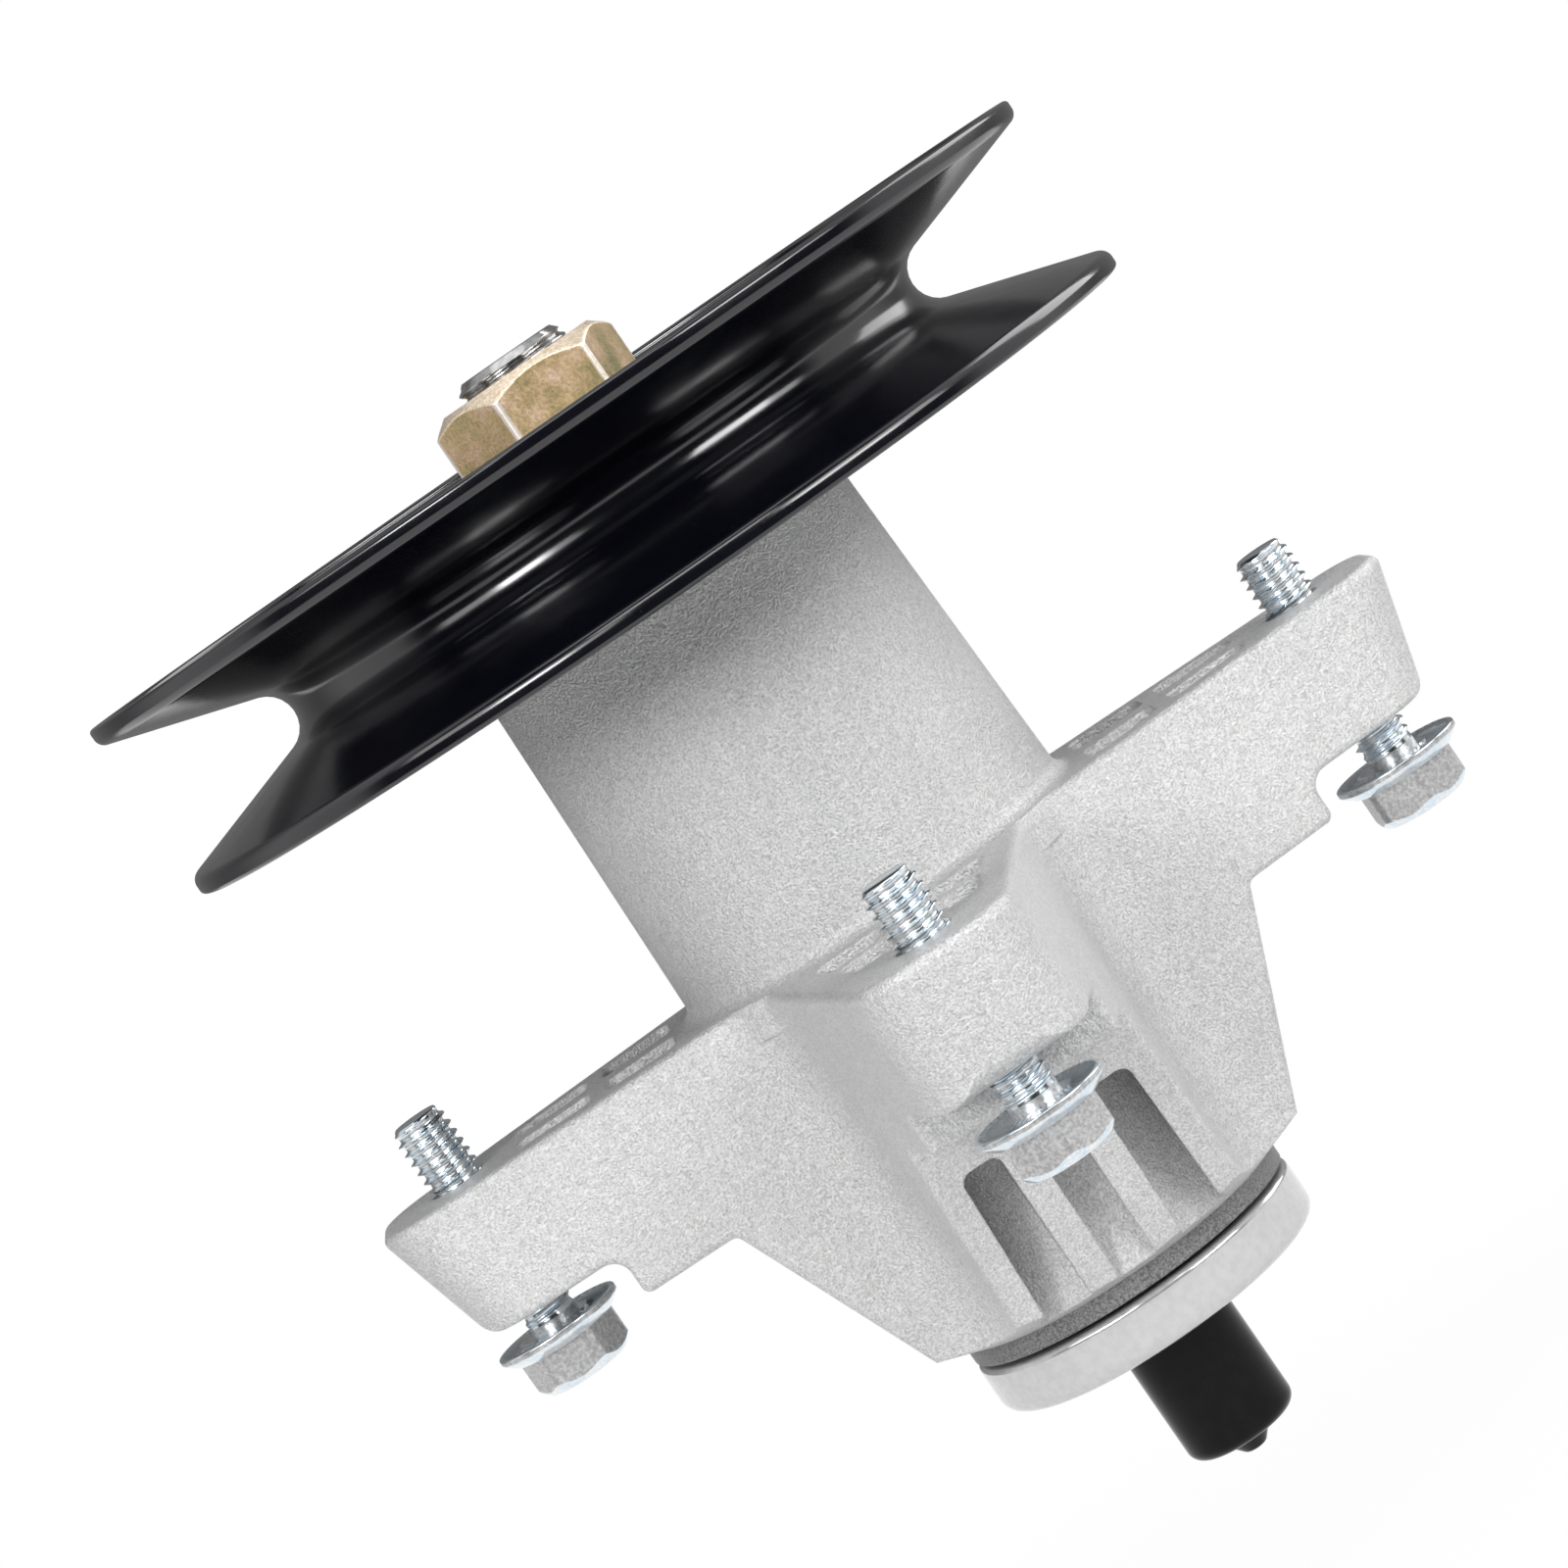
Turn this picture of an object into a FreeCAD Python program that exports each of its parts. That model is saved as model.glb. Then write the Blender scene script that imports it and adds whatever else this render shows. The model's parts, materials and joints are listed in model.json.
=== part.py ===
import FreeCAD, Part
import math
import os
from FreeCAD import Rotation, Vector

# Spindle for a lawn mower deck, standing as it is bolted to the deck
# The origin is on the spindle's axis, level with the four feet that meet the deck, and +Z points up
# All sizes are in millimetres
os.makedirs("parts", exist_ok=True)

# Clearances
slip = 0.02            # radial, between pieces that are pushed together
running = 0.08         # radial, between a seal or ball and the race that turns past it
rest_gap = 0.3         # where soft or loose pieces lie just off their seat
overshoot = 5.0        # how far a cutting solid runs past the face that it opens

# Spindle housing, a casting with a tube, four arms and ribbed skirts below them
arm_count = 4
arm_top_z = 18.0
arm_half_width = 15.5  # at its top
arm_width_at_r = 45.0  # where the arm's half width is measured
arm_taper_deg = 9.7    # each side, in plan
arm_draft_deg = 1.8    # each side, narrower towards the deck
arm_root_fillet = 10.0
arm_edge_round = 1.2
tip_past_screw = 12.3  # from the screw's axis to the arm's end, at its top
tip_lean = 4.8         # how much further in the end lies at its foot
tip_corner_r = 8.0
foot_round = 3.3
foot_edge_round = 1.0
notch_from_screw = 12.2  # from the screw's axis in to the wall of the notch above the skirt
notch_fillet = 2.6
step_drop = 6.1
step_round = 1.2
ledge_round = 1.2
skirt_top_r = 39.3
skirt_lean_deg = 22.8
skirt_bottom_z = -37.0
underside_deg = 22.0   # how far the skirts' undersides rise outwards
lip_wall = 3.8         # round the lower bearing
lip_bottom_z = -39.6
tube_top_wall = 6.95   # round the upper bearing
tube_spread = 1.5      # how much wider the tube is at its base than at its top
tube_top_z = 70.0
tube_top_round = 0.8
tube_fillet = 2.1

# Pockets that lighten the casting
pocket_floor_z = 6.0
pocket_round = 1.6
pocket_start_r = 31.9
inner_pocket_length = 10.5
pocket_cross_rib = 2.4
outer_pocket_length = 11.4
pocket_rib_half = 2.6          # half of the rib down the middle of an arm
pocket_wall = 4.8              # between a pocket and the arm's side
boss_r = 9.4
skirt_pocket_top_z = -12.6
skirt_pocket_floor_r = 26.2
skirt_middle_half = 2.75
skirt_rib = 4.05
skirt_wall = 3.6
skirt_pocket_round = 1.5

# Screws, thread forming, with hex washer heads, partly driven
bolt_circle_r = 65.1
screw_r = 3.8
screw_length = 31.75
screw_neck_r = 3.4
screw_neck_length = 5.7
screw_point = 0.9
screw_washer_r = 8.9
screw_washer_rim = 1.1         # how far below the screw's seat the washer's rim ends
screw_dish = 0.25              # how much lower the washer's face is at its rim
screw_rim_round = 0.25
screw_washer_height = 2.3
screw_cone_r = 7.35
screw_hex_across = 12.7
screw_head_height = 7.8
screw_head_round = 0.6
screw_corner_rise = 1.3        # how far the corners are bevelled up from the head's end
screw_corner_clip = 0.3        # how far the hexagon's corners are cut back
screw_gaps = (5.5, 5.0, 3.8, 5.2)  # from foot to washer, on +X, +Y, -X and -Y
screw_turns = (32.0, 30.0, 4.0, 27.0)  # how far each head happens to be turned, in degrees
lead_in_r = 4.6
lead_in_depth = 2.2
thread_clearance = 0.08

# Ball bearings, two alike
bearing_bore_r = 8.5
bearing_outer_r = 20.0
bearing_width = 12.0
inner_race_wall = 3.6
outer_race_wall = 3.5
ball_r = 3.37
ball_count = 8
seal_thickness = 0.8
seal_inset = 0.2
seal_seat = 0.7
cage_wall_half = 0.85
cage_half_height = 4.1
race_chamfer = 0.6
bearing_recess = 2.0           # how far each bearing lies inside its end of the housing
bearing_shoulder = 2.4         # how far the housing's bore steps in behind the bearings

# Shaft, with its flange forged on
flange_overhang = 0.15         # how much wider than the housing's lip
flange_gap = 0.7               # from the housing's lip down to the flange
flange_thickness = 7.3
flange_top_round = 0.8
flange_bottom_round = 2.0
flange_boss_r = 11.6
relief_r = 8.8
relief_depth = 0.6
seat_below_hub = 0.4           # how far the pulley seat ends below the hub's top
lower_thread_r = 7.14
lower_thread_length = 18.3
upper_thread_r = 7.94
thread_chamfer = 1.2
seat_flat_half = 8.1           # from the axis to each flat of the pulley seat
shaft_top_z = 101.45

# Pulley, split and spun from one disc, with a welded hub
belt_plane_z = 79.6
pulley_r = 70.5
pulley_half_height = 12.55
groove_root_r = 47.75
groove_root_round = 4.1
groove_half_deg = 17.5
rim_wall = 1.9
web_thickness = 3.8
rim_bend = 2.3
rim_edge_round = 0.6
web_fillet = 1.5
hub_r = 14.0
hub_collar_r = 18.0
hub_collar_height = 2.5

# Stack on top of the upper bearing
spacer_step = 0.6              # how much slimmer the tube between the bearings is than their land
top_spacer_height = 3.0
top_spacer_r = 12.0
shield_r = 25.6
shield_thickness = 1.2
shield_lip = 0.7
shield_edge_round = 0.95
hub_above_web = 2.5
washer_r = 15.6
washer_thickness = 1.2
washer_clearance = 0.3
nut_across = 23.81
nut_height = 14.0
nut_corner_clip = 0.25         # how far the hexagon's corners are cut back
nut_chamfer_deg = 40.0
nut_face_r = 11.0              # of the round flat that the chamfer leaves on each end
nut_turn_deg = 9.3

# Cap pushed over the lower thread
cap_wall = 0.75
cap_fit = 0.06
cap_end = 1.0
cap_edge_round = 1.9
cap_inside_round = 0.9
cap_mouth_round = 0.35
nub_r = 1.5
nub_height = 2.6
nub_end_round = 1.0
nub_foot_r = 3.6
nub_foot_rise = 0.15
nub_foot_round = 2.0

# Heights and radii that follow from the sizes above
step_z = -step_drop
step_r = bolt_circle_r - notch_from_screw
tip_r_top = bolt_circle_r + tip_past_screw
tip_r_bottom = tip_r_top - tip_lean
inner_land_r = bearing_bore_r + inner_race_wall
outer_land_r = bearing_outer_r - outer_race_wall
ball_pitch_r = (bearing_bore_r + bearing_outer_r) / 2
housing_bore_r = bearing_outer_r - bearing_shoulder
lip_r = bearing_outer_r + lip_wall
tube_top_r = bearing_outer_r + tube_top_wall
tube_base_r = tube_top_r + tube_spread
flange_r = lip_r + flange_overhang
flange_top_z = lip_bottom_z - flange_gap
flange_bottom_z = flange_top_z - flange_thickness
lower_bearing_z = lip_bottom_z + bearing_recess
upper_bearing_z = tube_top_z - bearing_recess - bearing_width
upper_bearing_top = upper_bearing_z + bearing_width
spacer_tube_from = lower_bearing_z + bearing_width
top_spacer_top = upper_bearing_top + top_spacer_height
shield_top = top_spacer_top + shield_thickness
web_bottom = belt_plane_z - web_thickness / 2
web_top = belt_plane_z + web_thickness / 2
hub_top = web_top + hub_above_web
washer_top = hub_top + washer_thickness
nut_top = washer_top + nut_height
lower_thread_end = flange_bottom_z - lower_thread_length
spacer_tube_r = inner_land_r - spacer_step
groove_centre_r = groove_root_r + groove_root_round
groove_tan = math.tan(math.radians(groove_half_deg))
groove_cos = math.cos(math.radians(groove_half_deg))


def face_in_rz(points):
    """A face in the XZ plane from (radius, height, corner rounding) points."""
    edges = []
    ends = []
    count = len(points)
    for i in range(count):
        before = Vector(points[i - 1][0], 0, points[i - 1][1])
        here = Vector(points[i][0], 0, points[i][1])
        after = Vector(points[(i + 1) % count][0], 0, points[(i + 1) % count][1])
        rounding = points[i][2] if len(points[i]) > 2 else 0
        if not rounding:
            ends.append((here, here, None))
            continue
        back = (before - here).normalize()
        ahead = (after - here).normalize()
        half = back.getAngle(ahead) / 2
        reach = rounding / math.tan(half)
        middle = (back + ahead).normalize()
        bulge = here + middle * (rounding / math.sin(half) - rounding)
        ends.append((here + back * reach, here + ahead * reach, bulge))
    for i in range(count):
        start, stop, bulge = ends[i]
        if bulge:
            edges.append(Part.Arc(start, bulge, stop).toShape())
        following = ends[(i + 1) % count][0]
        if (following - stop).Length > 1e-6:
            edges.append(Part.LineSegment(stop, following).toShape())
    return Part.Face(Part.Wire(edges))


def turned(points):
    """A solid of revolution about the spindle's axis."""
    return face_in_rz(points).revolve(Vector(0, 0, 0), Vector(0, 0, 1), 360)


def tube(inner_r, outer_r, bottom, top):
    return turned([(inner_r, bottom), (outer_r, bottom), (outer_r, top), (inner_r, top)])


def rod(radius, bottom, top, x=0.0, y=0.0):
    return Part.makeCylinder(radius, top - bottom, Vector(x, y, bottom), Vector(0, 0, 1))


def rotated(shape, degrees):
    copy = shape.copy()
    copy.rotate(Vector(0, 0, 0), Vector(0, 0, 1), degrees)
    return copy


def around(shape, count):
    """The shape and its copies, evenly spaced round the axis."""
    return [rotated(shape, i * 360.0 / count) for i in range(count)]


def hexagon(across, bottom, top):
    corner = Vector(across / math.sqrt(3), 0, bottom)
    points = [Rotation(Vector(0, 0, 1), 60 * i).multVec(corner) for i in range(7)]
    return Part.Face(Part.makePolygon(points)).extrude(Vector(0, 0, top - bottom))


def arm_half(x, z):
    """Half of an arm's width at this distance from the axis and at this height."""
    taper = math.tan(math.radians(arm_taper_deg))
    draft = math.tan(math.radians(arm_draft_deg))
    return arm_half_width + (arm_width_at_r - x) * taper - (arm_top_z - z) * draft


def star_wire(z):
    """Outline of the four arms at this height, with sharp corners between them."""
    tip = tip_r_top + overshoot
    corner = arm_half(0, z) / (1 + math.tan(math.radians(arm_taper_deg)))
    half = arm_half(tip, z)
    one_arm = [Vector(corner, -corner, z), Vector(tip, -half, z), Vector(tip, half, z)]
    points = []
    for i in range(arm_count):
        turn = Rotation(Vector(0, 0, 1), i * 360 / arm_count)
        points += [turn.multVec(point) for point in one_arm]
    return Part.makePolygon(points + points[:1])


def across_arm(points):
    """A solid with this outline as seen from the side of the +X arm, wider than the arm."""
    reach = arm_half(0, arm_top_z) + overshoot
    face = face_in_rz(points)
    face.translate(Vector(0, -reach, 0))
    return face.extrude(Vector(0, 2 * reach, 0))


def arm_end():
    """The air beyond one arm: off its leaning end, under its foot, in the notch and off the skirt."""
    low = skirt_bottom_z - overshoot
    high = arm_top_z + overshoot
    far = tip_r_top + 2 * overshoot
    skirt_low_r = skirt_top_r - (step_z - low) * math.tan(math.radians(skirt_lean_deg))
    tip_high_r = tip_r_top + overshoot * tip_lean / arm_top_z
    return across_arm([
        (skirt_low_r, low), (skirt_top_r, step_z, ledge_round), (step_r, step_z, step_round),
        (step_r, 0, notch_fillet), (tip_r_bottom, 0), (tip_high_r, high), (far, high), (far, low),
    ])


def foot_corner():
    """What is rounded off the lower edge of an arm's end."""
    size = 2 * foot_round
    far = tip_r_top + 2 * overshoot
    return across_arm([
        (tip_r_bottom - size, -size), (far, -size), (far, size),
        (tip_r_bottom + size * tip_lean / arm_top_z, size), (tip_r_bottom, 0, foot_round),
        (tip_r_bottom - size, 0),
    ])


def underside():
    """The air under the skirts, down to the lip that ends the housing."""
    low = skirt_bottom_z - overshoot
    far = 2 * skirt_top_r
    rise = (far - lip_r) * math.tan(math.radians(underside_deg))
    return turned([(lip_r, low), (far, low), (far, skirt_bottom_z + rise), (lip_r, skirt_bottom_z)])


def edges_where(shape, test):
    """The edges on which points near both ends and the middle pass the test."""
    chosen = []
    for edge in shape.Edges:
        first, last = edge.FirstParameter, edge.LastParameter
        if all(test(edge.valueAt(first + part * (last - first))) for part in (0.02, 0.5, 0.98)):
            chosen.append(edge)
    return chosen


def between_arms(point):
    return abs(abs(point.x) - abs(point.y)) < 0.01


def tip_corner(point):
    """Whether a point lies on an arm's leaning end, between its foot and its top."""
    tip_r = tip_r_bottom + point.z * tip_lean / arm_top_z
    return abs(max(abs(point.x), abs(point.y)) - tip_r) < 0.01 and 0.01 < point.z < arm_top_z - 0.01


def foot_edge(point):
    """Whether a point lies in a foot's underside, beyond the fillet of the notch."""
    return abs(point.z) < 0.01 and max(abs(point.x), abs(point.y)) > step_r + notch_fillet + 0.01


def pocket_block(near, far, left, right, bottom, top):
    """A block in the +X arm from one radius to another. Its sides are given for a radius and a height."""
    wires = []
    for z in (bottom, top):
        corners = [(near, left(near, z)), (far, left(far, z)), (far, right(far, z)), (near, right(near, z))]
        points = [Vector(x, y, z) for x, y in corners]
        wires.append(Part.makePolygon(points + points[:1]))
    return Part.makeLoft(wires, True, True)


def with_mirrored(shape):
    return [shape, shape.mirror(Vector(0, 0, 0), Vector(0, 1, 0))]


def skirt_pockets():
    """The three upright pockets in the skirt under one arm, which die out at its foot."""
    near = skirt_pocket_floor_r - overshoot
    low = skirt_bottom_z - overshoot
    top = skirt_pocket_top_z

    def block(left, right):
        sharp = pocket_block(near, skirt_top_r, left, right, low, top)
        upper = edges_where(sharp, lambda p: p.z > top - 0.01 and near + 0.01 < p.x < skirt_top_r - 0.01)
        return sharp.makeFillet(skirt_pocket_round, upper)

    middle = block(lambda x, z: -skirt_middle_half, lambda x, z: skirt_middle_half)
    side = block(lambda x, z: skirt_middle_half + skirt_rib, lambda x, z: arm_half(x, z) - skirt_wall)
    core = rod(skirt_pocket_floor_r, low - overshoot, top + overshoot)
    return [tool.cut(core) for tool in [middle] + with_mirrored(side)]


def top_pockets():
    """The pockets in the top of one arm, in two rows on each side of its rib."""
    inner_end = pocket_start_r + inner_pocket_length
    outer_start = inner_end + pocket_cross_rib
    high = arm_top_z + overshoot
    boss = rod(boss_r, 0, 2 * arm_top_z, bolt_circle_r)
    tools = []
    for near, far in ((pocket_start_r, inner_end), (outer_start, outer_start + outer_pocket_length)):
        sharp = pocket_block(
            near, far, lambda x, z: pocket_rib_half, lambda x, z: arm_half(x, arm_top_z) - pocket_wall,
            pocket_floor_z, high,
        )
        upright = edges_where(sharp, lambda p: pocket_floor_z + 0.01 < p.z < high - 0.01)
        tools += with_mirrored(sharp.makeFillet(pocket_round, upright).cut(boss))
    return tools


def make_housing():
    seam_turn = 180 / arm_count
    arms = Part.makeLoft([star_wire(skirt_bottom_z), star_wire(arm_top_z)], True, True)
    arms = arms.makeFillet(arm_root_fillet, edges_where(arms, between_arms))
    arms = arms.cut(around(arm_end(), arm_count))
    arms = arms.makeFillet(tip_corner_r, edges_where(arms, tip_corner))
    arms = arms.makeFillet(foot_edge_round, edges_where(arms, foot_edge))
    arms = arms.cut(around(foot_corner(), arm_count)).removeSplitter()
    arms = arms.makeFillet(arm_edge_round, edges_where(arms, lambda p: p.z > arm_top_z - 0.01))
    arms = arms.cut(rotated(underside(), seam_turn))
    inside_arms = arm_top_z - overshoot
    fillet_r = tube_base_r + tube_fillet
    tube_body = turned([
        (0, inside_arms), (fillet_r, inside_arms), (fillet_r, arm_top_z),
        (tube_base_r, arm_top_z, tube_fillet), (tube_top_r, tube_top_z, tube_top_round), (0, tube_top_z),
    ])
    body = arms.fuse([tube_body, rod(lip_r, lip_bottom_z, skirt_bottom_z + overshoot)])
    hole = rod(screw_r + thread_clearance, -overshoot, 2 * arm_top_z, bolt_circle_r)
    hole = hole.fuse(rod(lead_in_r, -overshoot, lead_in_depth, bolt_circle_r))
    for tool in skirt_pockets() + top_pockets() + [hole]:
        body = body.cut(around(tool, arm_count))
    seat_r = bearing_outer_r + slip
    bore = rod(housing_bore_r, lip_bottom_z - overshoot, tube_top_z + overshoot)
    lower_seat = rod(seat_r, lip_bottom_z - overshoot, lower_bearing_z + bearing_width)
    upper_seat = rod(seat_r, upper_bearing_z, tube_top_z + overshoot)
    return body.cut(bore.fuse([lower_seat, upper_seat])).removeSplitter()


def make_screw(gap, turn):
    """One screw on the +X arm, its washer this far below the foot and its head turned."""
    seat = -gap
    head_end = seat - screw_head_height
    tip = seat + screw_length
    shank = turned([
        (0, seat - screw_washer_height), (screw_cone_r, seat - screw_washer_height),
        (screw_washer_r, seat - screw_washer_rim, screw_rim_round),
        (screw_washer_r, seat - screw_dish, screw_rim_round), (screw_neck_r, seat),
        (screw_neck_r, seat + screw_neck_length),
        (screw_r, seat + screw_neck_length), (screw_r, tip - screw_point),
        (screw_r - screw_point, tip), (0, tip),
    ])
    corner = screw_hex_across / math.sqrt(3) - screw_corner_clip
    flat_r = screw_hex_across / 2
    head_top = seat - screw_washer_rim
    envelope = turned([
        (0, head_end), (flat_r - screw_head_round, head_end, screw_head_round),
        (corner, head_end + screw_corner_rise), (corner, head_top), (0, head_top),
    ])
    head = rotated(hexagon(screw_hex_across, head_end, head_top), turn).common(envelope)
    screw = shank.fuse(head).removeSplitter()
    screw.translate(Vector(bolt_circle_r, 0, 0))
    return screw


def make_screws():
    sides = [0, 90, 180, 270]
    return [
        rotated(make_screw(gap, turn - side), side)
        for gap, turn, side in zip(screw_gaps, screw_turns, sides)
    ]


def ball_groove():
    middle = bearing_width / 2
    return Part.makeTorus(ball_pitch_r, ball_r + running, Vector(0, 0, middle), Vector(0, 0, 1))


def make_bearing(bottom, name):
    """One sealed ball bearing, as a node for each of its pieces."""
    width = bearing_width
    groove = ball_groove()
    outer = turned([
        (outer_land_r, 0), (bearing_outer_r - race_chamfer, 0), (bearing_outer_r, race_chamfer),
        (bearing_outer_r, width - race_chamfer), (bearing_outer_r - race_chamfer, width),
        (outer_land_r, width),
    ])
    seat_depth = seal_inset + seal_thickness
    seat_r = outer_land_r + seal_seat
    lower_seat = rod(seat_r, -overshoot, seat_depth)
    upper_seat = rod(seat_r, width - seat_depth, width + overshoot)
    outer = outer.cut([groove, lower_seat, upper_seat])
    inner = tube(bearing_bore_r + slip, inner_land_r, 0, width).cut(groove)
    seal = tube(inner_land_r + running, seat_r - slip, seal_inset, seal_inset + seal_thickness)
    balls = around(Part.makeSphere(ball_r, Vector(ball_pitch_r, 0, width / 2)), ball_count)
    hole = Part.makeCylinder(ball_r + running, bearing_outer_r, Vector(0, 0, width / 2), Vector(1, 0, 0))
    cage = tube(
        ball_pitch_r - cage_wall_half, ball_pitch_r + cage_wall_half,
        width / 2 - cage_half_height, width / 2 + cage_half_height,
    ).cut(around(hole, ball_count))
    top_seal = seal.copy()
    top_seal.translate(Vector(0, 0, width - 2 * seal_inset - seal_thickness))
    nodes = {
        name + "_outer_race": [outer],
        name + "_inner_race": [inner],
        name + "_bottom_seal": [seal],
        name + "_top_seal": [top_seal],
        name + "_cage": [cage],
        name + "_balls": balls,
    }
    for shapes in nodes.values():
        for shape in shapes:
            shape.translate(Vector(0, 0, bottom))
    return nodes


def slab(half, bottom, top):
    """A block through the axis, this far from the axis to each of its flats."""
    reach = bearing_bore_r + 2 * overshoot
    return Part.makeBox(2 * half, 2 * reach, top - bottom, Vector(-half, -reach, bottom))


def make_shaft():
    chamfer = thread_chamfer
    body = turned([
        (0, lower_thread_end), (lower_thread_r - chamfer, lower_thread_end),
        (lower_thread_r, lower_thread_end + chamfer),
        (lower_thread_r, flange_bottom_z + relief_depth), (relief_r, flange_bottom_z + relief_depth),
        (relief_r, flange_bottom_z), (flange_r, flange_bottom_z, flange_bottom_round),
        (flange_r, flange_top_z, flange_top_round), (flange_boss_r, flange_top_z),
        (flange_boss_r, lower_bearing_z), (bearing_bore_r, lower_bearing_z),
        (bearing_bore_r, hub_top - seat_below_hub), (upper_thread_r, hub_top - seat_below_hub),
        (upper_thread_r, shaft_top_z - chamfer), (upper_thread_r - chamfer, shaft_top_z),
        (0, shaft_top_z),
    ])
    beside_flats = rod(bearing_bore_r + overshoot, shield_top, hub_top)
    return body.cut(beside_flats.cut(slab(seat_flat_half, shield_top, hub_top)))


def make_pulley():
    """The split and spun disc: a flat web, a round-rooted V and two upright rims."""
    outer_line = groove_root_round / groove_cos
    inner_line = (groove_root_round + rim_wall) / groove_cos
    apex_r = groove_centre_r - outer_line / groove_tan
    back_apex_r = groove_centre_r - inner_line / groove_tan
    crease = (pulley_r - groove_centre_r) * groove_tan + outer_line
    inside_r = pulley_r - rim_wall
    inside_crease = (inside_r - groove_centre_r) * groove_tan + inner_line
    top = pulley_half_height
    half = [
        (pulley_r, crease, rim_bend), (pulley_r, top, rim_edge_round), (inside_r, top, rim_edge_round),
        (inside_r, inside_crease, rim_bend - rim_wall),
    ]
    points = [(apex_r, 0, groove_root_round)]
    points += half
    points += [(back_apex_r, 0, groove_root_round + rim_wall)]
    points += [(r, -z, rounding) for r, z, rounding in reversed(half)]
    rim = turned(points)
    web = tube(hub_r, groove_root_r - rim_wall / 2, -web_thickness / 2, web_thickness / 2)
    pulley = rim.fuse(web).removeSplitter()
    joint_edges = [
        edge for edge in pulley.Edges
        if abs(abs(edge.BoundBox.ZMin) - web_thickness / 2) < 0.01
        and abs(edge.BoundBox.ZMax - edge.BoundBox.ZMin) < 0.01
        and edge.BoundBox.XMax > hub_r + 0.01
    ]
    pulley = pulley.makeFillet(web_fillet, joint_edges)
    pulley.translate(Vector(0, 0, belt_plane_z))
    return pulley


def make_hub():
    hub = turned([
        (0, shield_top), (hub_r, shield_top), (hub_r, web_bottom - hub_collar_height),
        (hub_collar_r, web_bottom - hub_collar_height), (hub_collar_r, web_bottom),
        (hub_r, web_bottom), (hub_r, hub_top), (0, hub_top),
    ])
    low = shield_top - overshoot
    high = hub_top + overshoot
    return hub.cut(rod(bearing_bore_r + slip, low, high).common(slab(seat_flat_half + slip, low, high)))


def make_nut():
    corner = nut_across / math.sqrt(3) - nut_corner_clip
    rise = (corner - nut_face_r) * math.tan(math.radians(nut_chamfer_deg))
    envelope = turned([
        (0, washer_top), (nut_face_r, washer_top), (corner, washer_top + rise),
        (corner, nut_top - rise), (nut_face_r, nut_top), (0, nut_top),
    ])
    nut = hexagon(nut_across, washer_top, nut_top).common(envelope)
    nut = nut.cut(rod(upper_thread_r + slip, washer_top - overshoot, nut_top + overshoot))
    return rotated(nut, nut_turn_deg)


def make_shield():
    """Stamped washer that keeps grass off the upper bearing, its edge turned down."""
    bottom = top_spacer_top
    return turned([
        (bearing_bore_r + slip, bottom), (shield_r - shield_thickness, bottom),
        (shield_r - shield_thickness, bottom - shield_lip), (shield_r, bottom - shield_lip),
        (shield_r, shield_top, shield_edge_round), (bearing_bore_r + slip, shield_top),
    ])


def make_cap():
    mouth = flange_bottom_z - rest_gap
    inner_r = lower_thread_r + cap_fit
    outer_r = inner_r + cap_wall
    inside_end = lower_thread_end - rest_gap
    end = inside_end - cap_end
    return turned([
        (0, inside_end), (inner_r, inside_end, cap_inside_round), (inner_r, mouth, cap_mouth_round),
        (outer_r, mouth, cap_mouth_round), (outer_r, end, cap_edge_round),
        (nub_foot_r, end - nub_foot_rise, nub_foot_round), (nub_r, end - nub_height, nub_end_round),
        (0, end - nub_height),
    ])


def save(name, shapes):
    whole = shapes[0] if len(shapes) == 1 else Part.Compound(shapes)
    bad = [i for i, shape in enumerate(shapes) if not shape.isValid() or len(shape.Solids) != 1]
    print(name, "solids", len(whole.Solids), "volume", round(whole.Volume, 2), "bad", bad)
    whole.exportStep("parts/" + name + ".step")


nodes = {
    "spindle_housing": [make_housing()],
    "mounting_screws": make_screws(),
    "spindle_shaft": [make_shaft()],
    "bearing_spacer_tube": [tube(bearing_bore_r + slip, spacer_tube_r, spacer_tube_from, upper_bearing_z)],
    "top_spacer": [tube(bearing_bore_r + slip, top_spacer_r, upper_bearing_top, top_spacer_top)],
    "dust_shield": [make_shield()],
    "belt_pulley": [make_pulley()],
    "pulley_hub": [make_hub()],
    "top_washer": [tube(upper_thread_r + washer_clearance, washer_r, hub_top, washer_top)],
    "top_nut": [make_nut()],
    "thread_cap": [make_cap()],
}
nodes.update(make_bearing(upper_bearing_z, "upper_bearing"))
nodes.update(make_bearing(lower_bearing_z, "lower_bearing"))
for node, solids in nodes.items():
    save(node, solids)
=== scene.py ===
import json
import math

import bpy
import numpy as np
from mathutils import Matrix, Vector

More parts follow.
